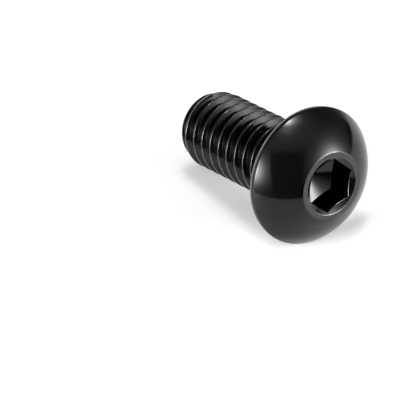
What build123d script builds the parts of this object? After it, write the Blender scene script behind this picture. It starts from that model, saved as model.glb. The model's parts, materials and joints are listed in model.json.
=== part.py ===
"""Button head socket screw, 3/8-16 by 3/4 inch, forged and thread-rolled in one piece.

The screw is made upright: the bearing face is at Z = 0, the head is below it and the threaded
shank runs up to the point, with the side that it will lie on towards +X.  It is then laid down
as it comes to rest on a flat surface, head towards +X, on the rim of its head and on its thread.
"""

from build123d import *
from math import atan2, ceil, cos, degrees, radians, tan
import os

inch = 25.4

# Thread: unified coarse, right-hand, with flat crests and roots
thread_pitch = inch / 16
crest_diameter = 9.4
crest_width = 0.27
root_width = 0.28
flank_angle = 60
last_crest = 18.4  # from the bearing face to the last crest, along the side that it lies on

# Shank
shank_length = 0.75 * inch
neck_relief = 0.4  # from the crests down to the neck
neck_length = 1.0
neck_taper_length = 0.6
under_head_radius = 0.45
point_bevel = 0.975  # from the crests down to the end face
point_taper_length = 0.95
point_edge_radius = 0.25

# Head
head_diameter = 16.6
head_height = 4.7
rim_bevel_width = 0.25
rim_bevel_height = 0.3
rim_land_height = 0.5
rim_edge_radius = 0.1
crown_flat_width = 0.6
crown_edge_radius = 0.3

# Hexagon socket: punched, with a shallow conical bottom
key_size = 7 / 32 * inch
key_clearance = 0.07
socket_depth = 3.4  # down to the bottom's edge at the corners
bottom_angle = 135
countersink_margin = 0.25  # beyond the socket's corners
countersink_angle = 120
socket_turn = 16  # about the axis, from the upper side of the lying screw to a corner

# Reach of the thread groove beyond the crests, to cut through them
groove_clearance = 0.15

head_radius = head_diameter / 2
bearing_radius = head_radius - rim_bevel_width
crest_radius = crest_diameter / 2
neck_radius = crest_radius - neck_relief
point_radius = crest_radius - point_bevel
socket_radius = (key_size + key_clearance) / 2  # to the middle of a flat
countersink_radius = socket_radius / cos(radians(30)) + countersink_margin
crown_flat_radius = countersink_radius + crown_flat_width
crown = -head_height
rim_top = -rim_bevel_height
rim_bottom = rim_top - rim_land_height
point_taper_start = shank_length - point_taper_length
bottom_slope = 1 / tan(radians(bottom_angle / 2))
bottom_edge = crown + socket_depth - countersink_margin * bottom_slope

# The dome is part of a sphere centred on the axis, from the crown flat to the rim
dome_centre = (head_radius**2 + rim_bottom**2 - crown_flat_radius**2 - crown**2) / (
    2 * (rim_bottom - crown)
)
dome_radius = (head_radius**2 + (rim_bottom - dome_centre) ** 2) ** 0.5

# Thread groove between two crests, cut from the neck past the point
flank_slope = tan(radians(flank_angle / 2))
groove_half_width = (thread_pitch - crest_width) / 2
groove_depth = (groove_half_width - root_width / 2) / flank_slope
mouth_half_width = groove_half_width + groove_clearance * flank_slope
last_groove = last_crest - thread_pitch / 2
full_turns = int((last_groove - groove_half_width - neck_length) / thread_pitch)
groove_start = last_groove - full_turns * thread_pitch
groove_turns = ceil((shank_length - groove_start) / thread_pitch) + 1
run_out_length = crest_radius / 2

# Rounded edges of the solid of revolution: radius and height of the corner, and its rounding
rounded_edges = (
    (neck_radius, 0, under_head_radius),
    (head_radius, rim_top, rim_edge_radius),
    (head_radius, rim_bottom, rim_edge_radius),
    (crown_flat_radius, crown, crown_edge_radius),
    (point_radius, shank_length, point_edge_radius),
)


def lying_angle(crest):
    """Slope of the axis, in radians, on the rim of the head and on the crest at this height."""
    taper = point_bevel / point_taper_length
    crest_edge = crest - crest_width / 2
    lost_radius = max(0, (crest_edge - point_taper_start) / (1 / taper + flank_slope))
    contact = min(crest + crest_width / 2, point_taper_start + lost_radius / taper)
    return atan2(head_radius - crest_radius + lost_radius, contact - rim_top)


# One turn of the thread groove, and the straight line along which the groove leaves the neck
with BuildPart() as groove_turn:
    with BuildLine():
        winding = Helix(thread_pitch, thread_pitch, crest_radius, center=(0, 0, groove_start))
    with BuildSketch(Plane(winding @ 0, x_dir=(1, 0, 0), z_dir=winding % 0)) as groove:
        with BuildLine():
            Polyline(
                (-groove_depth, -root_width / 2),
                (groove_clearance, -mouth_half_width),
                (groove_clearance, mouth_half_width),
                (-groove_depth, root_width / 2),
                close=True,
            )
        make_face()
    sweep(path=winding, is_frenet=True)
with BuildPart() as run_out:
    extrude(groove.sketch, amount=-run_out_length)

# Punch of the socket: a hexagon that ends in a cone wider than its corners
with BuildPart() as punch:
    with BuildSketch(Plane.XZ):
        with BuildLine():
            Polyline(
                (0, crown),
                (countersink_radius, crown),
                (countersink_radius, bottom_edge),
                (0, bottom_edge + countersink_radius * bottom_slope),
                close=True,
            )
        make_face()
    revolve(axis=Axis.Z)
    with BuildSketch(Plane.XY.offset(crown)):
        RegularPolygon(socket_radius, side_count=6, major_radius=False, rotation=socket_turn)
    extrude(amount=socket_depth + countersink_radius, mode=Mode.INTERSECT)

with BuildPart() as upright:
    # Solid of revolution: head, neck, shank and point
    with BuildSketch(Plane.XZ) as section:
        with BuildLine():
            Polyline(
                (head_radius, rim_bottom),
                (head_radius, rim_top),
                (bearing_radius, 0),
                (neck_radius, 0),
                (neck_radius, neck_length),
                (crest_radius, neck_length + neck_taper_length),
                (crest_radius, point_taper_start),
                (point_radius, shank_length),
                (0, shank_length),
                (0, crown),
                (crown_flat_radius, crown),
            )
            RadiusArc((crown_flat_radius, crown), (head_radius, rim_bottom), -dome_radius)
        make_face()
        for edge_radius, edge_height, rounding in rounded_edges:
            corner = Vertex(edge_radius, edge_height)
            fillet(section.vertices().sort_by_distance(corner)[0], rounding)
    revolve(axis=Axis.Z)

    # Countersunk mouth of the socket
    with Locations((0, 0, crown)):
        Cone(
            bottom_radius=countersink_radius,
            top_radius=0,
            height=countersink_radius / tan(radians(countersink_angle / 2)),
            align=(Align.CENTER, Align.CENTER, Align.MIN),
            mode=Mode.SUBTRACT,
        )

    # Hexagon and bottom of the socket
    add(punch.part, mode=Mode.SUBTRACT)

    # Thread: the groove turn by turn, from its run-out at the neck to past the point
    for turn in range(groove_turns):
        with Locations((0, 0, turn * thread_pitch)):
            add(groove_turn.part, mode=Mode.SUBTRACT)
    add(run_out.part, mode=Mode.SUBTRACT)

# Laid down, with the middle of its outline over the origin
tilt = min(lying_angle(last_crest), lying_angle(last_crest - thread_pitch))
laid_down = Location((0, 0, 0), (0, -90 - degrees(tilt), 180))
box = upright.part.moved(laid_down).bounding_box()
with BuildPart() as screw:
    with Locations(Location((-box.center().X, 0, -box.min.Z)) * laid_down):
        add(upright.part)

os.makedirs("parts", exist_ok=True)
screw.part.label = "button_head_screw"
export_step(screw.part, "parts/button_head_screw.step")
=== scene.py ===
"""Button head socket screw with a black oxide finish, lying on a pale floor in a small studio.

The screw is one forged and thread-rolled piece, so its whole skin is one closed surface.  Each
sub-assembly (socket, head, thread, point) gives its rows of that surface, from the middle of the
socket outwards over the head and along the shank to the middle of the end face.
"""

from __future__ import annotations

import json
import logging
import math
from dataclasses import dataclass, field
from enum import Enum
from typing import Any

import bmesh
import bpy
import numpy as np
from mathutils import Matrix, Vector


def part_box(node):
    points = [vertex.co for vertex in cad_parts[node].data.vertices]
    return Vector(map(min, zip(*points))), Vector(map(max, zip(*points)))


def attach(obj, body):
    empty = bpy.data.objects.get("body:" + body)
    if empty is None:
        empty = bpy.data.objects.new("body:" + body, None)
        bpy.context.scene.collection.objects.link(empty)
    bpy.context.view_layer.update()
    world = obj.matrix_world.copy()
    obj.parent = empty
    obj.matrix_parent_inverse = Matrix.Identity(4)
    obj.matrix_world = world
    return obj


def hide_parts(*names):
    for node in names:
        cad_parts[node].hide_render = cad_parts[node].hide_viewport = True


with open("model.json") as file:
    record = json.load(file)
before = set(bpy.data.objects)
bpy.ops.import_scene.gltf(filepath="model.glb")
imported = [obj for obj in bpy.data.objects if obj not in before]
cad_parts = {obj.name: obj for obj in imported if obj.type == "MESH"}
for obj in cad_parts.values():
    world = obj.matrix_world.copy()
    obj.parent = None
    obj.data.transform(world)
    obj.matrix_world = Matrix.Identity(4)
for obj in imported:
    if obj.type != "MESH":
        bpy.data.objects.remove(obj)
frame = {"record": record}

LOG = logging.getLogger("screw")
MILLIMETRE = 0.001
INCH = 25.4
PIECE_NAME = "button_head_screw"
Grid = np.ndarray

# How much less the rim's radius and the shank's length are than the solid's, in millimetres, so
# that the skin stays inside the solid's box
RIM_MARGIN = 0.006
END_MARGIN = 0.04

# Edges that turn by more than this are shaded as sharp
SHARP_EDGE_DEGREES = 40

# Points that are closer than this, in metres, are merged
MERGE_DISTANCE = 1e-8

# Points on an arc of an outline, and straight pieces that stand for the rear of the rim
ARC_POINTS = 6
LIP_STEPS = 8

# Distance from a corner to the point that keeps a straight side flat, and the shortest side that
# gets such points, in millimetres
GUARD_DISTANCE = 0.04
GUARDED_LENGTH = 4 * GUARD_DISTANCE

# From a crest to the middle of the groove that follows it, in turns of the thread
HALF_TURN = 0.5

# The middle of a noise pattern's range
NOISE_MIDDLE = 0.5

# Sockets of a Mix node that mixes colours: the two colours and the result
MIX_FIRST, MIX_SECOND, MIX_RESULT = 6, 7, 2

# Angles in degrees
SQUARE = 90
OPPOSITE = 180


# ---------------------------------------------------------------------------------------------
# Shader maths
# ---------------------------------------------------------------------------------------------


@dataclass(frozen=True)
class Signal:
    """A value or colour that flows through a material, usable in Python arithmetic.

    Attributes:
        graph: The graph that it belongs to.
        socket: The output that gives it.
    """

    graph: "Graph"
    socket: bpy.types.NodeSocket

    def __add__(self, other: "Value") -> "Signal":
        """This value plus the other."""
        return self.graph.math("ADD", self, other)

    def __radd__(self, other: "Value") -> "Signal":
        """The other value plus this."""
        return self.graph.math("ADD", other, self)

    def __sub__(self, other: "Value") -> "Signal":
        """This value less the other."""
        return self.graph.math("SUBTRACT", self, other)

    def __rsub__(self, other: "Value") -> "Signal":
        """The other value less this."""
        return self.graph.math("SUBTRACT", other, self)

    def __mul__(self, other: "Value") -> "Signal":
        """This value times the other."""
        return self.graph.math("MULTIPLY", self, other)

    def __rmul__(self, other: "Value") -> "Signal":
        """The other value times this."""
        return self.graph.math("MULTIPLY", other, self)


Value = Signal | float


class Seen(Enum):
    """The kinds of ray that tell how something is seen."""

    DIRECTLY = "Is Camera Ray"
    REFLECTED = "Is Glossy Ray"
    THROUGH = "Is Transmission Ray"


@dataclass(frozen=True)
class Pattern:
    """A noise pattern.

    Attributes:
        scale: Its frequency, for each millimetre.
        detail: Its number of octaves.
        roughness: The share of the finer octaves.
    """

    scale: float
    detail: float
    roughness: float = 0.5


@dataclass
class Graph:
    """The node tree of one material or world.

    Attributes:
        tree: The node tree, emptied when the graph is made.
    """

    tree: bpy.types.NodeTree

    def __post_init__(self) -> None:
        """Empty the tree."""
        self.tree.nodes.clear()

    def node(
        self,
        kind: str,
        settings: dict[str, Any] | None = None,
        inputs: dict[str | int, Any] | None = None,
    ) -> bpy.types.Node:
        """Add one node.

        Args:
            kind: The node's type, such as "ShaderNodeTexNoise".
            settings: Properties of the node, set before its sockets.
            inputs: Socket name or number to the constant or Signal that it takes.

        Returns:
            The new node.
        """
        made = self.tree.nodes.new(kind)
        for name, setting in (settings or {}).items():
            setattr(made, name, setting)
        for key, value in (inputs or {}).items():
            if isinstance(value, Signal):
                self.tree.links.new(value.socket, made.inputs[key])
            else:
                made.inputs[key].default_value = value
        return made

    def out(self, node: bpy.types.Node, key: str | int = 0) -> Signal:
        """The Signal of one of a node's outputs."""
        return Signal(self, node.outputs[key])

    def math(self, operation: str, *values: Value) -> Signal:
        """Add a Math node.

        Args:
            operation: The node's operation.
            values: Its operands, in order.

        Returns:
            The result.
        """
        inputs = dict(enumerate(values))
        return self.out(self.node("ShaderNodeMath", {"operation": operation}, inputs))

    def smooth(self, value: Value, low: float, high: float) -> Signal:
        """Map a value to 0 at low and 1 at high, with a smooth step between.

        Args:
            value: The value to map.
            low: The value that gives 0.
            high: The value that gives 1.

        Returns:
            The mapped value.
        """
        settings = {"interpolation_type": "SMOOTHSTEP"}
        inputs = {"Value": value, "From Min": low, "From Max": high}
        return self.out(self.node("ShaderNodeMapRange", settings, inputs))

    def noise(self, vector: Signal, pattern: Pattern) -> Signal:
        """Noise between 0 and 1.

        Args:
            vector: The coordinates that it is read at.
            pattern: The pattern.

        Returns:
            The noise value.
        """
        inputs = {
            "Vector": vector,
            "Scale": pattern.scale,
            "Detail": pattern.detail,
            "Roughness": pattern.roughness,
        }
        return self.out(self.node("ShaderNodeTexNoise", None, inputs))

    def blend(self, factor: Value, first: Any, second: Any) -> Signal:
        """Mix two colours.

        Args:
            factor: 0 for the first colour, 1 for the second.
            first: A colour with alpha, or a Signal.
            second: A colour with alpha, or a Signal.

        Returns:
            The mixed colour.
        """
        inputs = {0: factor, MIX_FIRST: first, MIX_SECOND: second}
        return self.out(self.node("ShaderNodeMix", {"data_type": "RGBA"}, inputs), MIX_RESULT)

    def dot(self, vector: Signal, direction: Vector) -> Signal:
        """The dot product of a vector with a fixed direction.

        Args:
            vector: The vector.
            direction: The direction.

        Returns:
            The product.
        """
        settings = {"operation": "DOT_PRODUCT"}
        inputs = {0: vector, 1: tuple(direction)}
        return self.out(self.node("ShaderNodeVectorMath", settings, inputs), "Value")

    def rays(self) -> tuple[Signal, Signal]:
        """Tell how a surface or the world is seen.

        Returns:
            1 where it is seen directly, and 1 where it is seen in a mirror or through glass.
        """
        path = self.node("ShaderNodeLightPath")
        seen = {way: self.out(path, way.value) for way in Seen}
        shown = self.math("MAXIMUM", seen[Seen.REFLECTED], seen[Seen.THROUGH])
        return seen[Seen.DIRECTLY], shown


def grey(level: float) -> tuple[float, float, float, float]:
    """An opaque neutral colour of this linear level."""
    return (level, level, level, 1.0)


# ---------------------------------------------------------------------------------------------
# Where the screw lies, and its skin
# ---------------------------------------------------------------------------------------------


@dataclass(frozen=True)
class Lie:
    """Where the screw's own axis lies in the frame, read from the record's mounts.

    Heights run along the axis, from the bearing face under the head towards the point.  Angles
    turn about it, from its upper side, by the right-hand rule.

    Attributes:
        seat: The middle of the bearing face, in millimetres.
        tip: The unit direction towards the point.
    """

    seat: np.ndarray
    tip: np.ndarray

    @classmethod
    def from_mounts(cls, socket_mount: dict[str, Any], head_height: float) -> "Lie":
        """Read the lie from the socket's mount.

        Args:
            socket_mount: The mount at the middle of the socket's mouth, with its axis outwards.
            head_height: From the bearing face to that mount, in millimetres.

        Returns:
            The lie.
        """
        tip = -np.array(socket_mount["axis"])
        mouth = np.array(socket_mount["pos_m"]) / MILLIMETRE
        return cls(mouth + head_height * tip, tip)

    @property
    def side(self) -> np.ndarray:
        """The unit direction at 90 degrees, level and square to the axis."""
        across = np.cross(self.tip, (0.0, 0.0, 1.0))
        return across / np.linalg.norm(across)

    @property
    def upper(self) -> np.ndarray:
        """The unit direction at 0 degrees, square to the axis and as near upright as can be."""
        return np.cross(self.side, self.tip)

    def place(self, radius: np.ndarray, angle: np.ndarray, height: np.ndarray) -> np.ndarray:
        """Turn screw coordinates into frame coordinates.

        A point is seat + height * tip + radius * (cos(angle) * upper + sin(angle) * side).

        Args:
            radius: Distances from the axis, in millimetres.
            angle: Angles about the axis, in radians.
            height: Heights along the axis, in millimetres.

        Returns:
            An array of points in metres, with one more dimension than the inputs.
        """
        outwards = np.cos(angle)[..., None] * self.upper + np.sin(angle)[..., None] * self.side
        points = self.seat + height[..., None] * self.tip + radius[..., None] * outwards
        return points * MILLIMETRE

    def matrix(self) -> Matrix:
        """The matrix from screw coordinates to the frame, in metres, with Z towards the point."""
        axes = Matrix([self.upper, self.side, self.tip]).transposed().to_4x4()
        return Matrix.Translation(Vector(self.seat * MILLIMETRE)) @ axes


@dataclass
class Skin:
    """Rows of the screw's closed surface, each a ring round the axis.

    Attributes:
        angles: The angle of each column, in radians.
        radius: Distance from the axis by row and column, in millimetres.
        height: Height along the axis by row and column, in millimetres.
        wear: Share of the finish that is rubbed thin, by row and column; it also paints highlights
            along edges and crests.
        next_row: The row that each row meets when it has gone once round.
    """

    angles: np.ndarray
    radius: Grid = field(init=False)
    height: Grid = field(init=False)
    wear: Grid = field(init=False)
    next_row: np.ndarray = field(init=False)

    def __post_init__(self) -> None:
        """Start with no rows."""
        self.radius = np.empty((0, len(self.angles)))
        self.height = self.radius.copy()
        self.wear = self.radius.copy()
        self.next_row = np.empty(0, dtype=int)

    def add(self, radius: Grid, height: Grid, wear: Grid | float = 0.0, climb: int = 0) -> None:
        """Add rows at the open end.

        Args:
            radius: Distance from the axis, one row or more, or one value a row.
            height: Height along the axis, of the same shape.
            wear: Share of the finish that is rubbed thin, which also paints highlights.
            climb: How many rows a row climbs in one turn, as a thread does.
        """
        shape = (len(radius), len(self.angles))
        before = len(self.radius)
        last = before + len(radius) - 1
        rows = np.arange(before, last + 1)
        self.radius = np.vstack([self.radius, _as_rows(radius, shape)])
        self.height = np.vstack([self.height, _as_rows(height, shape)])
        self.wear = np.vstack([self.wear, _as_rows(wear, shape)])
        self.next_row = np.concatenate([self.next_row, np.minimum(rows + climb, last)])

    def build(self, name: str, lie: Lie) -> bpy.types.Object:
        """Make the closed mesh.

        Neighbouring rows and columns are joined by quads.  The last column joins the first, one
        turn further on.  Points that coincide, at the poles and where the thread's rows end, are
        then merged, which closes the surface.

        Args:
            name: The name of the piece.
            lie: Where the screw's axis lies.

        Returns:
            The new object, at the origin.
        """
        rows, columns = self.radius.shape
        angles = np.broadcast_to(self.angles, self.radius.shape)
        points = lie.place(self.radius, angles, self.height)
        index = np.arange(rows * columns).reshape(rows, columns)
        around = np.hstack([index, index[self.next_row, :1]])
        corners = (around[:-1, :-1], around[:-1, 1:], around[1:, 1:], around[1:, :-1])
        quads = np.stack(corners, axis=-1).reshape(-1, 4)
        mesh = bpy.data.meshes.new(name)
        mesh.from_pydata(points.reshape(-1, 3), [], quads)
        # Rubbed oxide, which also paints highlights on edges and crests, for each point
        worn_and_glint = mesh.attributes.new("wear", "FLOAT", "POINT")
        worn_and_glint.data.foreach_set("value", self.wear.ravel().astype(np.float32))
        _merge_and_orient(mesh)
        mesh.polygons.foreach_set("use_smooth", np.ones(len(mesh.polygons), dtype=bool))
        mesh.set_sharp_from_angle(angle=math.radians(SHARP_EDGE_DEGREES))
        piece = bpy.data.objects.new(name, mesh)
        bpy.context.scene.collection.objects.link(piece)
        return piece


def _as_rows(values: Grid | float, shape: tuple[int, int]) -> Grid:
    """Spread a number, one value a row, or whole rows over a grid of this shape."""
    values = np.asarray(values, dtype=float)
    return np.broadcast_to(values[:, None] if values.ndim == 1 else values, shape)


def _merge_and_orient(mesh: bpy.types.Mesh) -> None:
    """Merge coinciding points, drop what collapses, and turn every face outwards.

    Args:
        mesh: The mesh, which is changed.
    """
    shell = bmesh.new()
    shell.from_mesh(mesh)
    bmesh.ops.remove_doubles(shell, verts=shell.verts, dist=MERGE_DISTANCE)
    bmesh.ops.recalc_face_normals(shell, faces=shell.faces)
    shell.to_mesh(mesh)
    shell.free()


def soft_min(first: Grid | float, second: Grid | float, rounding: float) -> Grid:
    """The lower of two values, with the corner between them rounded.

    The formula is half of (first + second - the root of ((first - second) squared + rounding
    squared)).

    Args:
        first: One value.
        second: The other.
        rounding: Twice the depth by which the corner is cut.

    Returns:
        The rounded minimum.
    """
    return (first + second - np.hypot(first - second, rounding)) / 2


def soft_max(first: Grid | float, second: Grid | float, rounding: float) -> Grid:
    """The higher of two values, with the corner between them rounded, as in soft_min."""
    return (first + second + np.hypot(first - second, rounding)) / 2


def even_steps(count: int) -> np.ndarray:
    """This many even steps from 0, which is left out, to 1, as a column."""
    return np.linspace(0, 1, count + 1)[1:, None]


# ---------------------------------------------------------------------------------------------
# The outline of the head and the point
# ---------------------------------------------------------------------------------------------


@dataclass(frozen=True)
class Corner:
    """A corner of an outline.

    Attributes:
        radius: Distance from the axis, in millimetres.
        height: Height along the axis, in millimetres.
        rounding: Radius of the arc that replaces the corner, in millimetres.
        wear: Share of the finish that is rubbed thin on that arc, which also paints a highlight
            along it.
    """

    radius: float
    height: float
    rounding: float = 0.0
    wear: float = 0.0


def rounded_outline(corners: list[Corner]) -> tuple[np.ndarray, np.ndarray, np.ndarray]:
    """Follow an outline, with an arc in place of each corner that has a rounding.

    An arc touches both sides at the distance rounding * tan(turn / 2) from its corner.  Long
    straight sides get a point close to each end, so that they shade as flat.

    Args:
        corners: The corners in order; the first and the last have no rounding.

    Returns:
        The radius, the height and the wear of each point: rubbed oxide that also paints highlights.
    """
    places = [np.array((corner.radius, corner.height)) for corner in corners]
    rows: list[np.ndarray] = [np.append(places[0], 0.0)]
    for before, here, after, corner in zip(places, places[1:], places[2:], corners[1:]):
        inwards = (here - before) / np.linalg.norm(here - before)
        outwards = (after - here) / np.linalg.norm(after - here)
        turn = math.acos(np.clip(inwards @ outwards, -1.0, 1.0))
        reach = corner.rounding * math.tan(turn / 2)
        start = here - reach * inwards
        _add_guards(rows, start)
        if reach > 0:
            steps = np.linspace(0, turn, ARC_POINTS)[:, None]
            square = (outwards - (outwards @ inwards) * inwards) / math.sin(turn)
            arc = start + corner.rounding * (np.sin(steps) * inwards + (1 - np.cos(steps)) * square)
            # Rubbed oxide along the arc, also a painted highlight there
            fade = np.sin(np.linspace(0, math.pi, ARC_POINTS))[:, None] * corner.wear
            rows.extend(np.hstack([arc, fade]))
        else:
            rows.append(np.append(here, corner.wear))
    _add_guards(rows, places[-1])
    rows.append(np.append(places[-1], 0.0))
    table = np.array(rows)
    return table[:, 0], table[:, 1], table[:, 2]


def _add_guards(rows: list[np.ndarray], end: np.ndarray) -> None:
    """Add a point near each end of the straight side from the last row, if it is long.

    Args:
        rows: The outline so far, as radius, height and wear, which gets the points.
        end: The radius and height of the side's other end.
    """
    start = rows[-1][:2]
    length = np.linalg.norm(end - start)
    if length > GUARDED_LENGTH:
        step = (end - start) * GUARD_DISTANCE / length
        rows.append(np.append(start + step, 0.0))
        rows.append(np.append(end - step, 0.0))


@dataclass(frozen=True)
class Socket:
    """Hexagon socket, punched, with a shallow conical bottom and a countersunk mouth.

    Attributes:
        half_flats: From the axis to the middle of a flat.
        depth: From the crown to the bottom's edge at the corners.
        crown: Height of the crown, which the socket opens in.
        turn: Angle of one corner, in degrees.
        bottom_slope: Depth of the conical bottom for each millimetre of radius.
        countersink_margin: Width of the countersink beyond the corners.
        countersink_slope: Depth of the countersink for each millimetre of radius.
        mouth_rounding: Length of the worn edge between the flats and the countersink.
        mouth_limit: Largest share of the countersink's width that the worn edge takes.
        mouth_wear_and_glint: Share of the finish that is rubbed thin on the worn edge, which also
            paints a highlight round the mouth.
        bottom_rows: Rows of the surface on the bottom.
        wall_rows: Rows on the flats.
        mouth_rows: Rows on the worn edge.
        cone_rows: Rows on the countersink.
    """

    half_flats: float
    depth: float
    crown: float
    turn: float = 16.0
    bottom_slope: float = math.tan(math.radians(22.5))
    countersink_margin: float = 0.25
    countersink_slope: float = math.tan(math.radians(30))
    mouth_rounding: float = 0.09
    mouth_limit: float = 0.7
    mouth_wear_and_glint: float = 0.8
    bottom_rows: int = 14
    wall_rows: int = 7
    mouth_rows: int = 5
    cone_rows: int = 4

    @property
    def corner_radius(self) -> float:
        """From the axis to a corner."""
        return self.half_flats / math.cos(math.pi / 6)

    @property
    def countersink_radius(self) -> float:
        """Radius of the countersink's outer edge."""
        return self.corner_radius + self.countersink_margin

    def wall(self, angles: np.ndarray) -> np.ndarray:
        """Distance of the hexagon's wall from the axis.

        It is half_flats / cos(angle from the middle of the nearest flat).

        Args:
            angles: Angles about the axis, in radians.

        Returns:
            One distance for each angle.
        """
        sector = math.pi / 3
        from_corner = np.mod(angles - math.radians(self.turn), sector)
        return self.half_flats / np.cos(from_corner - sector / 2)

    def add_to(self, skin: Skin) -> None:
        """Add the rows from the middle of the socket to the edge of the countersink.

        Args:
            skin: The screw's surface, still with no rows.
        """
        wall = self.wall(skin.angles)
        bottom = wall * np.linspace(0, 1, self.bottom_rows)[:, None]
        cone_depth = (self.corner_radius - bottom) * self.bottom_slope
        skin.add(bottom, self.crown + self.depth + cone_depth)
        foot = skin.height[-1]
        lip = self.crown + (self.countersink_radius - wall) * self.countersink_slope
        rise = (lip + self.mouth_rounding - foot) * even_steps(self.wall_rows)
        skin.add(np.broadcast_to(wall, rise.shape), foot + rise)
        self._add_mouth(skin, wall, lip)

    def _add_mouth(self, skin: Skin, wall: np.ndarray, lip: np.ndarray) -> None:
        """Add the worn edge, a parabola from the flat to the countersink, and the countersink.

        With share running from 0 to 1, the parabola's radius is wall + across * share squared.
        Its height is lip + mouth_rounding * (1 - share) squared, less countersink_slope times the
        radius gained.

        Args:
            skin: The screw's surface, which ends at the top of the flats.
            wall: Distance of the flats from the axis, by column.
            lip: Height of the countersink above the flats, by column.
        """
        widest = self.mouth_limit * (self.countersink_radius - wall)
        across = np.minimum(self.mouth_rounding, widest)
        share = even_steps(self.mouth_rows)
        radius = wall + across * share**2
        height = (
            lip
            + self.mouth_rounding * (1 - share) ** 2
            - across * self.countersink_slope * share**2
        )
        # Rubbed oxide on the worn edge, also a painted highlight round the mouth
        skin.add(radius, height, wear=np.sin(share * math.pi) * self.mouth_wear_and_glint)
        inner = wall + across
        outer = self.countersink_radius - GUARD_DISTANCE
        radius = inner + (outer - inner) * even_steps(self.cone_rows)
        skin.add(radius, self.crown + (self.countersink_radius - radius) * self.countersink_slope)


@dataclass(frozen=True)
class Head:
    """Button head: a flat round the socket, a dome, a narrow rim and the bearing face.

    Attributes:
        radius: Radius of the rim.
        crown: Height of the crown, below the bearing face.
        socket_edge: Radius of the countersink's outer edge.
        socket_slope: Depth of the countersink for each millimetre of radius.
        neck_radius: Radius of the neck.
        countersink_strip: Width of the countersink's outermost strip, which the head takes over.
        crown_flat_width: Width of the flat round the countersink.
        rim_height: Height of the rim, from the dome to the bearing face.
        lip_height: Height of the rim's rear part, which draws in.
        lip_width: How far it draws in.
        dome_steps: How many straight pieces stand for the dome.
        socket_rounding: Rounding of the countersink's outer edge.
        crown_rounding: Rounding between the crown flat and the dome.
        rim_rounding: Rounding between the dome and the rim.
        bearing_rounding: Rounding between the rim and the bearing face.
        neck_rounding: Rounding between the bearing face and the neck.
        socket_wear_and_glint: Share of the finish that is rubbed thin on the countersink's outer
            edge, which also paints a highlight along it.
        crown_wear_and_glint: The same on the crown flat's edge.
        lip_wear_and_glint: The same on the rear of the rim.
    """

    radius: float
    crown: float
    socket_edge: float
    socket_slope: float
    neck_radius: float
    countersink_strip: float = 0.03
    crown_flat_width: float = 0.6
    rim_height: float = 0.8
    lip_height: float = 0.6
    lip_width: float = 0.12
    dome_steps: int = 40
    socket_rounding: float = 0.08
    crown_rounding: float = 0.3
    rim_rounding: float = 0.35
    bearing_rounding: float = 0.06
    neck_rounding: float = 0.45
    socket_wear_and_glint: float = 1.0
    crown_wear_and_glint: float = 0.4
    lip_wear_and_glint: float = 1.0

    @property
    def crown_flat_radius(self) -> float:
        """Radius of the crown flat's outer edge."""
        return self.socket_edge + self.crown_flat_width

    def dome(self) -> list[Corner]:
        """Corners along the dome, between the crown flat and the rim.

        They lie on a circle round a centre on the axis, at equal angles from it.

        Returns:
            The corners, both ends left out.
        """
        inner = self.crown_flat_radius
        rim = -self.rim_height
        squares = self.radius**2 + rim**2 - inner**2 - self.crown**2
        centre = squares / (2 * (rim - self.crown))
        reach = math.hypot(self.radius, rim - centre)
        first = math.asin(inner / reach)
        last = math.asin(self.radius / reach)
        angles = np.linspace(first, last, self.dome_steps + 1)[1:-1]
        return [Corner(reach * math.sin(a), centre - reach * math.cos(a)) for a in angles]

    def lip(self) -> list[Corner]:
        """Corners along the rim's rear part, between the rim and the bearing face.

        It draws in by lip_width * share squared, where share is the part of lip_height that is
        passed.  The finish is rubbed away over its second quarter, and stays so; that rubbing also
        paints a highlight along the rim's rear.

        Returns:
            The corners, the bearing face's edge left out.
        """
        shares = np.linspace(0, 1, LIP_STEPS + 1)[:-1]
        quarters = shares * 4
        # Rubbed oxide on the rim's rear, also a painted highlight along it
        wear = self.lip_wear_and_glint * np.clip(quarters - 1, 0, 1)
        radius = self.radius - self.lip_width * shares**2
        height = self.lip_height * (shares - 1)
        return [Corner(r, h, wear=w) for r, h, w in zip(radius, height, wear)]

    def add_to(self, skin: Skin, neck_start: float) -> None:
        """Add the rows from the countersink's edge to the neck.

        Args:
            skin: The screw's surface, which ends in the countersink.
            neck_start: Height at which the thread's own rows take over.
        """
        strip = self.countersink_strip
        outline = [
            Corner(self.socket_edge - strip, self.crown + strip * self.socket_slope),
            # The last value of each Corner is rubbed oxide that also paints a highlight along its
            # edge
            Corner(self.socket_edge, self.crown, self.socket_rounding, self.socket_wear_and_glint),
            Corner(self.crown_flat_radius, self.crown, self.crown_rounding, self.crown_wear_and_glint),
            *self.dome(),
            Corner(self.radius, -self.rim_height, self.rim_rounding),
            *self.lip(),
            Corner(self.radius - self.lip_width, 0.0, self.bearing_rounding, self.lip_wear_and_glint),
            Corner(self.neck_radius, 0.0, self.neck_rounding),
            Corner(self.neck_radius, neck_start),
        ]
        skin.add(*rounded_outline(outline))


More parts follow.
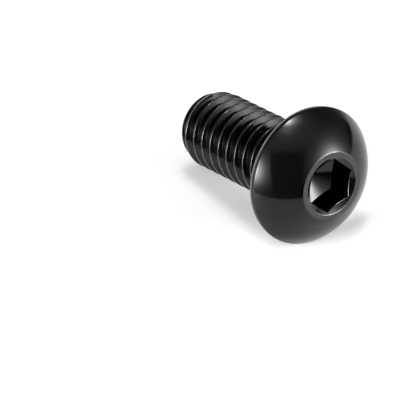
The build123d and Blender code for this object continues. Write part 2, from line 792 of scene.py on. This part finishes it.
@dataclass(frozen=True)
class Thread:
    """Rolled thread, with its run-out at the neck and its taper at the point.

    Attributes:
        crest_radius: Radius of the crests.
        neck_radius: Radius of the neck.
        shank_length: From the bearing face to the end face.
        pitch: Distance between turns.
        crest_width: Width of a crest.
        root_width: Width of a root.
        last_crest: Height of the last crest, on the side that the screw lies on.
        run_out_start: Height of the groove's end at the neck, on that side.
        neck_length: From the bearing face to the end of the neck.
        neck_taper_length: Length of the cone between the neck and the crests.
        point_taper_length: Length of the taper at the point.
        point_bevel: From the crests down to the end face's edge.
        point_curve: Power that the taper deepens by.
        half_angle: Angle between a flank and a plane square to the axis, in degrees.
        flank_hollow: Share by which a flank is steeper at the crest and flatter at the root.
        crest_rounding: Rounding of the crest's corners, as soft_min takes it.
        root_rounding: Rounding of the root's corners.
        blank_rounding: Rounding where the crests meet the neck's cone and the taper.
        seam_depth: Depth of the shallow seam that rolling leaves along a crest.
        seam_share: Half of that seam's width, as a share of the crest's.
        run_out_turn: The most of the groove's run-out that is followed, in radians.
        wear_and_glint_offset: From a crest's corner to the middle of its rubbed line, which also
            paints a highlight, down the flank.
        wear_and_glint_width: Distance from that middle at which that line has fallen to about a
            third.
        crest_samples: Places of the surface's rows, from a crest's corner.
        flank_samples: Their places on a flank, from the middle of the crest.
        root_samples: Their places from a root's corner.
    """

    crest_radius: float
    neck_radius: float
    shank_length: float
    pitch: float = INCH / 16
    crest_width: float = 0.2
    root_width: float = 0.22
    last_crest: float = 18.4
    run_out_start: float = 1.73
    neck_length: float = 1.0
    neck_taper_length: float = 0.6
    point_taper_length: float = 2.15
    point_bevel: float = 0.76
    point_curve: float = 1.5
    half_angle: float = 29.0
    flank_hollow: float = 0.13
    crest_rounding: float = 0.06
    root_rounding: float = 0.01
    blank_rounding: float = 0.03
    seam_depth: float = 0.012
    seam_share: float = 0.3
    run_out_turn: float = 1.2
    wear_and_glint_offset: float = 0.01
    wear_and_glint_width: float = 0.03
    crest_samples: tuple[float, ...] = (-0.075, -0.03, 0.0, 0.025, 0.06)
    flank_samples: tuple[float, ...] = (0.34, 0.5)
    root_samples: tuple[float, ...] = (-0.05, 0.0, 0.05)

    def samples(self) -> np.ndarray:
        """Places across one pitch, closer together at the corners of the crest and the root.

        Returns:
            Distances from the middle of a crest, in millimetres, from one root to the next.
        """
        crest = self.crest_width / 2 + np.array(self.crest_samples)
        root = (self.pitch - self.root_width) / 2 + np.array(self.root_samples)
        half = np.concatenate([crest, self.flank_samples, root])
        return np.concatenate([-half[::-1], [0.0], half, [self.pitch / 2]])

    def envelope(self, height: Grid) -> Grid:
        """Radius of the blank: the neck, its cone and the point's taper.

        Between the cone and the taper the blank stands at or clear of the crests, which then
        end at their own radius.

        Args:
            height: Heights along the axis.

        Returns:
            The blank's radius at each height.
        """
        neck_slope = (self.crest_radius - self.neck_radius) / self.neck_taper_length
        neck = self.neck_radius + np.maximum(height - self.neck_length, 0) * neck_slope
        return np.where(height < self.shank_length / 2, neck, self.taper(height))

    def taper(self, height: Grid) -> Grid:
        """Radius of the blank at the point.

        It is crest_radius - point_bevel * (share of the taper's length) ** point_curve.

        Args:
            height: Heights along the axis.

        Returns:
            The radius at each height.
        """
        share = 1 - (self.shank_length - height) / self.point_taper_length
        return self.crest_radius - self.point_bevel * np.maximum(share, 0) ** self.point_curve

    @property
    def taper_slope(self) -> float:
        """Radius lost for each millimetre of height at the end of the taper."""
        return self.point_bevel * self.point_curve / self.point_taper_length

    def surface(self, angle: Grid, height: Grid, blank: Grid | None = None) -> tuple[Grid, Grid]:
        """Radius and wear of the threaded shank: rubbed oxide that also paints highlights.

        Across a pitch, the section is the higher of the root and the flank, and the lower of
        that and the crest, with its seam.  The flank is a shallow parabola.  Before the groove's
        start at the neck it runs out along a straight line, so its radius is divided by the
        cosine of the angle still to go.  The wear is a bell curve along each crest's
        corners: rubbed oxide that also paints a highlight line there.

        Args:
            angle: Angles about the axis, in radians.
            height: Heights along the axis, in millimetres.
            blank: Radius of the blank that the thread is cut in, or None for the envelope's.

        Returns:
            The radius and the wear at each point.
        """
        turns = (height - self.last_crest) / self.pitch - (angle - math.pi) / math.tau
        across = np.abs(turns - np.round(turns)) * self.pitch
        flank_slope = 1 / math.tan(math.radians(self.half_angle))
        flank_width = (self.pitch - self.crest_width - self.root_width) / 2
        share = (across - self.crest_width / 2) / flank_width
        depth = flank_width * flank_slope
        flank = self.crest_radius - depth * share * (1 + self.flank_hollow * (1 - share))
        groove = soft_max(self.crest_radius - depth, flank, self.root_rounding)
        first_turn = (self.run_out_start - self.last_crest) / self.pitch
        groove_turn = np.floor(turns) + HALF_TURN - first_turn
        to_go = -(groove_turn * math.tau + angle - math.pi)
        groove = groove / np.cos(np.clip(to_go, 0, self.run_out_turn))
        seam = self.seam_depth * np.exp(-((across / (self.seam_share * self.crest_width)) ** 2))
        threaded = soft_min(self.crest_radius - seam, groove, self.crest_rounding)
        if blank is None:
            blank = self.envelope(height)
        # Rubbed oxide near each crest's corner, also a painted highlight line down the flank
        from_line = across - self.crest_width / 2 - self.wear_and_glint_offset
        wear = np.exp(-((from_line / self.wear_and_glint_width) ** 2))
        return soft_min(threaded, blank, self.blank_rounding), wear

    def add_to(self, skin: Skin, start: float, end: float) -> None:
        """Add the rows of the threaded shank, which climb one pitch a turn.

        Rows are cut off at the two given heights, where their points fall together.

        Args:
            skin: The screw's surface, which ends on the neck.
            start: Height of the first ring, on the neck.
            end: Height of the last ring, on the point's taper.
        """
        samples = self.samples()
        first = math.floor((start - self.last_crest) / self.pitch - HALF_TURN) - 1
        last = math.ceil((end - self.last_crest) / self.pitch + HALF_TURN) + 1
        turns = (np.arange(first, last)[:, None] + samples / self.pitch).ravel()
        climbed = turns[:, None] + (skin.angles - math.pi) / math.tau
        height = np.clip(self.last_crest + self.pitch * climbed, start, end)
        radius, wear = self.surface(np.broadcast_to(skin.angles, height.shape), height)
        skin.add(radius, height, wear, climb=len(samples))


@dataclass(frozen=True)
class Point:
    """The end of the shank: a rounded edge and a flat end face.

    Attributes:
        edge_radius: Radius of the end face's edge, before rounding.
        shank_length: From the bearing face to the end face.
        taper_slope: Radius lost for each millimetre of the taper.
        rounding: Rounding of the edge.
        clearance: Length of taper that is left before that rounding.
        edge_wear_and_glint: Share of the finish that is rubbed thin on the edge, which also paints
            a highlight along it.
    """

    edge_radius: float
    shank_length: float
    taper_slope: float
    rounding: float = 0.25
    clearance: float = 0.02
    edge_wear_and_glint: float = 0.4

    @property
    def taper_end(self) -> float:
        """Height at which the thread's rows give way to the point's.

        It is just before the rounding, which starts at rounding * tan(turn / 2) from the edge.

        Returns:
            The height.
        """
        lean = math.atan(self.taper_slope)
        reach = self.rounding * math.tan((math.pi / 2 - lean) / 2)
        return self.shank_length - (reach + self.clearance) * math.cos(lean)

    def add_to(self, skin: Skin, thread: Thread) -> None:
        """Add the rows from the taper to the middle of the end face.

        Args:
            skin: The screw's surface, which ends on the taper.
            thread: The thread, whose groove runs out through the edge.
        """
        start = self.taper_end
        # The edge's rubbed oxide also paints a highlight along it
        outline = [
            Corner(self.edge_radius + (self.shank_length - start) * self.taper_slope, start),
            Corner(self.edge_radius, self.shank_length, self.rounding, self.edge_wear_and_glint),
            Corner(self.edge_radius / 2, self.shank_length),
            Corner(0.0, self.shank_length),
        ]
        radius, height, wear = (values[1:, None] for values in rounded_outline(outline))
        height, wear = (np.broadcast_to(v, (len(v), len(skin.angles))) for v in (height, wear))
        grooved, _ = thread.surface(skin.angles, height, radius)
        skin.add(np.maximum(grooved, 0), height, wear)


# ---------------------------------------------------------------------------------------------
# Finish
# ---------------------------------------------------------------------------------------------


@dataclass(frozen=True)
class BlackOxide:
    """Glossy black oxide on steel, thin at the edges, where its paler metal also paints highlights.

    Attributes:
        metal: Linear reflectance of the oxide, seen head-on.
        worn_and_glint_metal: Linear reflectance where the oxide is rubbed thin, which also paints
            highlights on edges and crests.
        gloss_roughness: Roughness of the smooth skin.
        worn_roughness: Roughness where the oxide is rubbed thin.
        haze: Weight of the thin dull film of oil over the head.
        shank_haze: Weight of that film on the shank, where it has run off.
        haze_roughness: Roughness of that film.
        haze_ior: Its index of refraction.
        film_fade: Heights in millimetres between which the film thins to the shank's.
        clouds: Pattern of slow changes in tone.
        tones: Shares of the reflectance in the darkest and the palest cloud.
        patches: Pattern that breaks up the rubbed oxide and its painted highlights.
        patch_rise: Values of that pattern between which the rubbing begins.
        patch_wear_and_glint: What full wear adds to that pattern.
        grain: Pattern of the fine grain.
        grain_roughness: Range of roughness that the grain gives.
        grain_strength: Strength of its bumps.
        grain_depth: Depth of its bumps, in metres.
    """

    metal: float = 0.04
    worn_and_glint_metal: float = 0.2
    gloss_roughness: float = 0.1
    worn_roughness: float = 0.15
    haze: float = 0.14
    shank_haze: float = 0.08
    haze_roughness: float = 0.6
    haze_ior: float = 1.3
    film_fade: tuple[float, float] = (0.0, 0.6)
    clouds: Pattern = Pattern(0.35, 3.0)
    tones: tuple[float, float] = (0.85, 1.15)
    patches: Pattern = Pattern(2.5, 3.0)
    patch_rise: tuple[float, float] = (0.55, 0.95)
    patch_wear_and_glint: float = 0.5
    grain: Pattern = Pattern(9.0, 4.0, 0.6)
    grain_roughness: float = 0.06
    grain_strength: float = 0.06
    grain_depth: float = 0.00002

    def make(self, lie: Lie) -> bpy.types.Material:
        """Make the material.

        Args:
            lie: Where the screw's axis lies, so that the pattern follows the screw.

        Returns:
            The material.
        """
        material = bpy.data.materials.new("black_oxide")
        material.use_nodes = True
        graph = Graph(material.node_tree)
        place = graph.out(graph.node("ShaderNodeTexCoord"), "Object")
        back = lie.matrix().inverted()
        mapping = {
            "Vector": place,
            "Location": back.to_translation() / MILLIMETRE,
            "Rotation": back.to_euler(),
            "Scale": (1 / MILLIMETRE,) * 3,
        }
        local = graph.out(graph.node("ShaderNodeMapping", None, mapping))
        worn_and_glint = graph.out(graph.node("ShaderNodeAttribute", {"attribute_name": "wear"}), "Fac")
        cloud = graph.noise(local, self.clouds)
        grain = graph.noise(local, self.grain)
        patch = graph.noise(local, self.patches) + self.patch_wear_and_glint * worn_and_glint
        # Rubbed oxide, which also paints highlights on edges and crests, in patches
        rubbed_and_glint = worn_and_glint * graph.smooth(patch, *self.patch_rise)
        tone = graph.blend(cloud, *(grey(self.metal * share) for share in self.tones))
        # Paler metal there: partly rubbed oxide, partly a painted highlight
        colour = graph.blend(rubbed_and_glint, tone, grey(self.worn_and_glint_metal))
        roughness = (
            self.gloss_roughness
            + (grain - NOISE_MIDDLE) * self.grain_roughness
            + rubbed_and_glint * (self.worn_roughness - self.gloss_roughness)
        )
        below_head = graph.smooth(graph.dot(local, Vector((0, 0, 1))), *self.film_fade)
        ripple = {"Strength": self.grain_strength, "Distance": self.grain_depth, "Height": grain}
        bump = graph.out(graph.node("ShaderNodeBump", None, ripple))
        shader = {
            "Base Color": colour,
            "Metallic": 1.0,
            "Roughness": roughness,
            "Normal": bump,
            "Coat Weight": self.haze + below_head * (self.shank_haze - self.haze),
            "Coat Roughness": self.haze_roughness,
            "Coat IOR": self.haze_ior,
        }
        body = graph.out(graph.node("ShaderNodeBsdfPrincipled", None, shader))
        graph.node("ShaderNodeOutputMaterial", None, {"Surface": body})
        return material


# ---------------------------------------------------------------------------------------------
# Studio
# ---------------------------------------------------------------------------------------------


def direction(azimuth: float, elevation: float) -> Vector:
    """The unit vector in a direction.

    Args:
        azimuth: Its azimuth, from +X towards +Y, in degrees.
        elevation: Its elevation, in degrees.

    Returns:
        The vector.
    """
    turn, rise = math.radians(azimuth), math.radians(elevation)
    level = math.cos(rise)
    return Vector((math.cos(turn) * level, math.sin(turn) * level, math.sin(rise)))


@dataclass(frozen=True)
class SoftLight:
    """A lamp behind the tent's cloth: a hot spot that fades evenly all round.

    Attributes:
        name: What it is.
        azimuth: Its azimuth, in degrees from +X towards +Y.
        elevation: Its elevation, in degrees.
        spread: Angle at which its radiance has fallen to about a third, in degrees.
        strength: Radiance at its middle.
    """

    name: str
    azimuth: float
    elevation: float
    spread: float
    strength: float

    def glow(self, graph: Graph, towards: Signal) -> Signal:
        """Its radiance in a direction.

        It is strength * cosine ** (2 / spread squared), with the cosine of the angle between the
        direction and the light's middle, which is close to a bell curve of that spread.

        Args:
            graph: The world's graph.
            towards: The direction.

        Returns:
            The radiance.
        """
        cosine = graph.dot(towards, direction(self.azimuth, self.elevation))
        exponent = 2 / math.radians(self.spread) ** 2
        return graph.math("POWER", graph.math("MAXIMUM", cosine, 0.0), exponent) * self.strength


@dataclass(frozen=True)
class Panel:
    """A part of the tent that faces the screw, with straight sides and a straight top.

    Attributes:
        azimuth: Azimuth of its middle, in degrees from +X towards +Y.
        elevation: Elevation that its plane is square to, in degrees.
        clockwise: Angle from its middle to its side at lower azimuths, in degrees.
        anticlockwise: Angle from its middle to its side at higher azimuths, in degrees.
        top: Angle from its middle up to its top, in degrees.
        side_blur: Sine of the angle over which a side is blurred, either way.
        top_blur: The same for its top.
    """

    azimuth: float
    elevation: float
    clockwise: float
    anticlockwise: float
    top: float
    side_blur: float
    top_blur: float

    def mask(self, graph: Graph, towards: Signal) -> Signal:
        """1 on the panel, 0 off it.

        Each edge lies in a plane through the screw.  The mask is the product of a smooth step of
        the dot product with each plane's normal, sin(angle) * facing - cos(angle) * outwards.

        Args:
            graph: The world's graph.
            towards: The direction.

        Returns:
            The mask.
        """
        facing = direction(self.azimuth, self.elevation)
        across = direction(self.azimuth + SQUARE, 0)
        edges = (
            (self.anticlockwise, across, self.side_blur),
            (self.clockwise, -across, self.side_blur),
            (self.top, facing.cross(across), self.top_blur),
        )
        shares = []
        for degrees, outwards, blur in edges:
            angle = math.radians(degrees)
            normal = math.sin(angle) * facing - math.cos(angle) * outwards
            shares.append(graph.smooth(graph.dot(towards, normal), -blur, blur))
        return shares[0] * shares[1] * shares[2]


@dataclass(frozen=True)
class Studio:
    """A light tent: a white floor and backdrop, cloth lit by lamps, and a dim opening in front.

    Distances on the floor are in metres, from the origin.

    Attributes:
        lights: The lamps.
        cloth: Radiance of the tent's cloth away from the lamps.
        cloth_rise: Sines of the elevations between which the cloth begins.
        roof: What the cloth gains overhead.
        roof_rise: Sines of the elevations between which it gains that.
        opening: The opening that the camera looks in through.
        opening_radiance: Radiance of the dim room behind it.
        backdrop: The pale backdrop.
        backdrop_radiance: Radiance that the backdrop lends to dull surfaces.
        floor_colour_and_front_shade: Reflectance of the floor away from the opening, and a darker
            one in front of it that paints shade on the floor seen in the metal.
        floor_shine: Glow that the floor gives only where it is seen in the metal, in the same two
            places: a painted brightness of its reflection.
        front_rise: Distances in front of the screw between which one turns into the other.
        front_flare: How much further in front that is for each metre to the side.
        paper_white: Reflectance of the floor where it is seen directly.
        paper_glow: What it adds there, behind the screw and in front, so that it reads as white;
            the larger glow in front is painted light that lightens the screw's shadow there.
        paper_rise: Distances in front of the screw between which one turns into the other.
        floor_roughness: Roughness of the floor.
        floor_specular: Specular level of the floor.
        floor_reach: From the screw to the floor's edges: front, back and sides.
    """

    lights: tuple[SoftLight, ...] = (
        SoftLight("top", 142, 81.5, 5.5, 28.0),
        SoftLight("tail of the top", 112, 77, 8, 4.0),
        SoftLight("spill along the roof", -40, 86, 9, 1.4),
        SoftLight("left", -91, 15, 12.7, 23.0),
        SoftLight("spill from the left", -90, 14, 26, 1.6),
        SoftLight("right", 36, 13, 12.5, 20.0),
        SoftLight("spill from the right", 36, 12, 25, 2.7),
    )
    cloth: float = 0.13
    cloth_rise: tuple[float, float] = (0.03, 0.2)
    roof: float = 0.24
    roof_rise: tuple[float, float] = (0.7, 0.94)
    opening: Panel = Panel(-37.4, 37.1, 22.8, 24.7, 15, 0.03, 0.1)
    opening_radiance: float = 0.06
    backdrop: Panel = Panel(187, 0, 87, 87, 12, 0.03, 0.26)
    backdrop_radiance: float = 0.6
    floor_colour_and_front_shade: tuple[float, float] = (0.85, 0.65)
    floor_shine: tuple[float, float] = (0.14, 0.0)
    front_rise: tuple[float, float] = (0.003, 0.018)
    front_flare: float = 1.2
    paper_white: float = 1.0
    paper_glow: tuple[float, float] = (0.12, 0.3)
    paper_rise: tuple[float, float] = (0.002, 0.01)
    floor_roughness: float = 0.45
    floor_specular: float = 0.5
    floor_reach: tuple[float, float, float] = (0.045, 0.5, 0.5)

    def build(self, heading: float) -> None:
        """Make the world and the floor.

        Args:
            heading: The direction that the camera looks along, in degrees.
        """
        self._make_world()
        self._make_floor(heading)

    def _make_world(self) -> None:
        """Make the world: white where it is seen directly, and otherwise the tent.

        The backdrop is white in reflections and through glass too.
        """
        world = bpy.data.worlds.new("studio")
        world.use_nodes = True
        bpy.context.scene.world = world
        graph = Graph(world.node_tree)
        towards = graph.out(graph.node("ShaderNodeTexCoord"), "Generated")
        rise = graph.dot(towards, Vector((0, 0, 1)))
        directly, shown = graph.rays()
        pale = self.backdrop_radiance + shown * (1 - self.backdrop_radiance)
        radiance = graph.smooth(rise, *self.cloth_rise) * self.cloth
        radiance = radiance + graph.smooth(rise, *self.roof_rise) * self.roof
        radiance = radiance + self.backdrop.mask(graph, towards) * pale
        for light in self.lights:
            radiance = radiance + light.glow(graph, towards)
        dark = self.opening.mask(graph, towards)
        radiance = radiance * (1 - dark) + dark * self.opening_radiance
        level = directly + (1 - directly) * radiance
        sky = graph.node("ShaderNodeBackground", None, {"Color": grey(1), "Strength": level})
        graph.node("ShaderNodeOutputWorld", None, {"Surface": graph.out(sky)})

    def _make_floor(self, heading: float) -> None:
        """Make the flat sheet under the screw, which keeps its shadow and reads as white.

        Args:
            heading: The direction that the camera looks along, in degrees.
        """
        front, back, side = self.floor_reach
        corners = [(-front, -side), (-front, side), (back, side), (back, -side)]
        along, across = direction(heading, 0), direction(heading + SQUARE, 0)
        points = [along * x + across * y for x, y in corners]
        mesh = bpy.data.meshes.new("floor")
        mesh.from_pydata(points, [], [(3, 2, 1, 0)])
        floor = bpy.data.objects.new("floor", mesh)
        bpy.context.scene.collection.objects.link(floor)
        material = bpy.data.materials.new("floor_paper")
        material.use_nodes = True
        graph = Graph(material.node_tree)
        directly, shown = graph.rays()
        place = graph.out(graph.node("ShaderNodeTexCoord"), "Object")
        ahead = graph.dot(place, -along)
        aside = graph.math("ABSOLUTE", graph.dot(place, across))
        # Mask for the floor in front of the screw, which gets painted shade and no added glow in
        # the metal
        dim = graph.smooth(ahead - aside * self.front_flare, *self.front_rise)
        shine_away, shine_in_front = self.floor_shine
        glow_behind, glow_in_front = self.paper_glow
        # Painted light: more glow in front of the screw, which lightens its shadow there
        in_front = graph.smooth(ahead, *self.paper_rise)
        added = glow_behind + in_front * (glow_in_front - glow_behind)
        # Painted reflection: a glow the floor has only in the metal, none in front
        shine = shine_away + dim * (shine_in_front - shine_away)
        glow = directly * added + shown * shine
        # Painted shade: the floor is darker in front of the screw where it is seen in the metal
        colour = graph.blend(dim, *map(grey, self.floor_colour_and_front_shade))
        paper = {
            "Base Color": graph.blend(directly, colour, grey(self.paper_white)),
            "Roughness": self.floor_roughness,
            "Specular IOR Level": self.floor_specular,
            "Emission Color": graph.blend(glow, grey(0), grey(1)),
            "Emission Strength": 1.0,
        }
        body = graph.out(graph.node("ShaderNodeBsdfPrincipled", None, paper))
        graph.node("ShaderNodeOutputMaterial", None, {"Surface": body})
        mesh.materials.append(material)


@dataclass(frozen=True)
class Camera:
    """A long lens that looks down on the screw, square to the picture.

    Attributes:
        elevation: How far it looks down, in degrees.
        heading: The direction that it looks along, in degrees from +X towards +Y.
        depth: From the lens to the bearing face's middle, along the view, in millimetres.
        seat_pixel: Where that middle falls in the picture.
        focal_pixels: Focal length, in pixels.
        picture_size: Width and height of the picture, in pixels.
        sensor_width: Width of the sensor, in millimetres.
        clip: Nearest and furthest distance that it sees, in metres.
    """

    elevation: float = 36.690
    heading: float = 142.728
    depth: float = 460.306
    seat_pixel: tuple[float, float] = (306.541, 173.672)
    focal_pixels: float = 4000.0
    picture_size: float = 400.0
    sensor_width: float = 36.0
    clip: tuple[float, float] = (0.01, 10.0)

    def build(self, lie: Lie) -> None:
        """Make the camera and set it as the scene's.

        Args:
            lie: Where the screw lies.
        """
        forward = -direction(self.heading + OPPOSITE, self.elevation)
        right = direction(self.heading - SQUARE, 0)
        upward = right.cross(forward)
        across, down = (p - self.picture_size / 2 for p in self.seat_pixel)
        scale = self.depth / self.focal_pixels
        place = Vector(lie.seat) - forward * self.depth
        place = place - right * across * scale + upward * down * scale
        lens = bpy.data.cameras.new("camera")
        lens.sensor_width = self.sensor_width
        lens.lens = self.focal_pixels * self.sensor_width / self.picture_size
        lens.clip_start, lens.clip_end = self.clip
        camera = bpy.data.objects.new("camera", lens)
        camera.matrix_world = Matrix.Translation(place * MILLIMETRE) @ Matrix(
            [right, upward, -forward]
        ).transposed().to_4x4()
        bpy.context.scene.collection.objects.link(camera)
        bpy.context.scene.camera = camera


# ---------------------------------------------------------------------------------------------
# The screw
# ---------------------------------------------------------------------------------------------


@dataclass(frozen=True)
class Screw:
    """The whole screw, in one skin.

    Attributes:
        mounts: The record's mounts by name, which hold the sizes that mate with other parts.
        columns: Points in one ring, a multiple of six so that the socket's corners get theirs.
        head_height: From the bearing face to the crown.
        neck_relief: From the crests down to the neck.
        shank_length: From the bearing face to the end face.
        neck_start: Height at which the thread's rows start, past the fillet under the head.
    """

    mounts: dict[str, dict[str, Any]]
    columns: int = 216
    head_height: float = 4.7
    neck_relief: float = 0.4
    shank_length: float = 0.75 * INCH - END_MARGIN
    neck_start: float = 0.6

    def lie(self) -> Lie:
        """Where the screw's axis lies."""
        return Lie.from_mounts(self.mounts["hex_socket"], self.head_height)

    def build(self) -> bpy.types.Object:
        """Make the screw's piece, in place of the CAD node.

        Returns:
            The piece.
        """
        low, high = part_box(PIECE_NAME)
        socket_mount = self.mounts["hex_socket"]["dims"]
        crest_radius = self.mounts["thread"]["dims"]["r_mm"]
        crown = -self.head_height
        neck_radius = crest_radius - self.neck_relief
        socket = Socket(socket_mount["r_mm"], socket_mount["length_mm"], crown)
        rim = (high[1] - low[1]) / 2 / MILLIMETRE - RIM_MARGIN
        head = Head(rim, crown, socket.countersink_radius, socket.countersink_slope, neck_radius)
        thread = Thread(crest_radius, neck_radius, self.shank_length)
        point = Point(crest_radius - thread.point_bevel, self.shank_length, thread.taper_slope)
        first_column = math.radians(socket.turn)
        angles = first_column + np.arange(self.columns) * math.tau / self.columns
        skin = Skin(np.sort(np.mod(angles, math.tau)))
        socket.add_to(skin)
        head.add_to(skin, self.neck_start - GUARD_DISTANCE)
        thread.add_to(skin, self.neck_start, point.taper_end)
        point.add_to(skin, thread)
        piece = skin.build("screw_skin", self.lie())
        piece.data.materials.append(BlackOxide().make(self.lie()))
        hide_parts(PIECE_NAME)
        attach(piece, "root")
        return piece


def main() -> None:
    """Build the screw, the studio and the camera."""
    logging.basicConfig(level=logging.INFO, format="%(message)s")
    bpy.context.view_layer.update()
    mounts = {mount["name"]: mount for mount in frame["record"]["mounts"]}
    screw = Screw(mounts)
    piece = screw.build()
    counts = len(piece.data.vertices), len(piece.data.polygons)
    LOG.info("%s: %d points, %d faces", piece.name, *counts)
    camera = Camera()
    camera.build(screw.lie())
    Studio().build(camera.heading)
    LOG.info("studio and camera are in place")
    bpy.context.scene.view_settings.view_transform = "Standard"


if __name__ == "__main__":
    main()
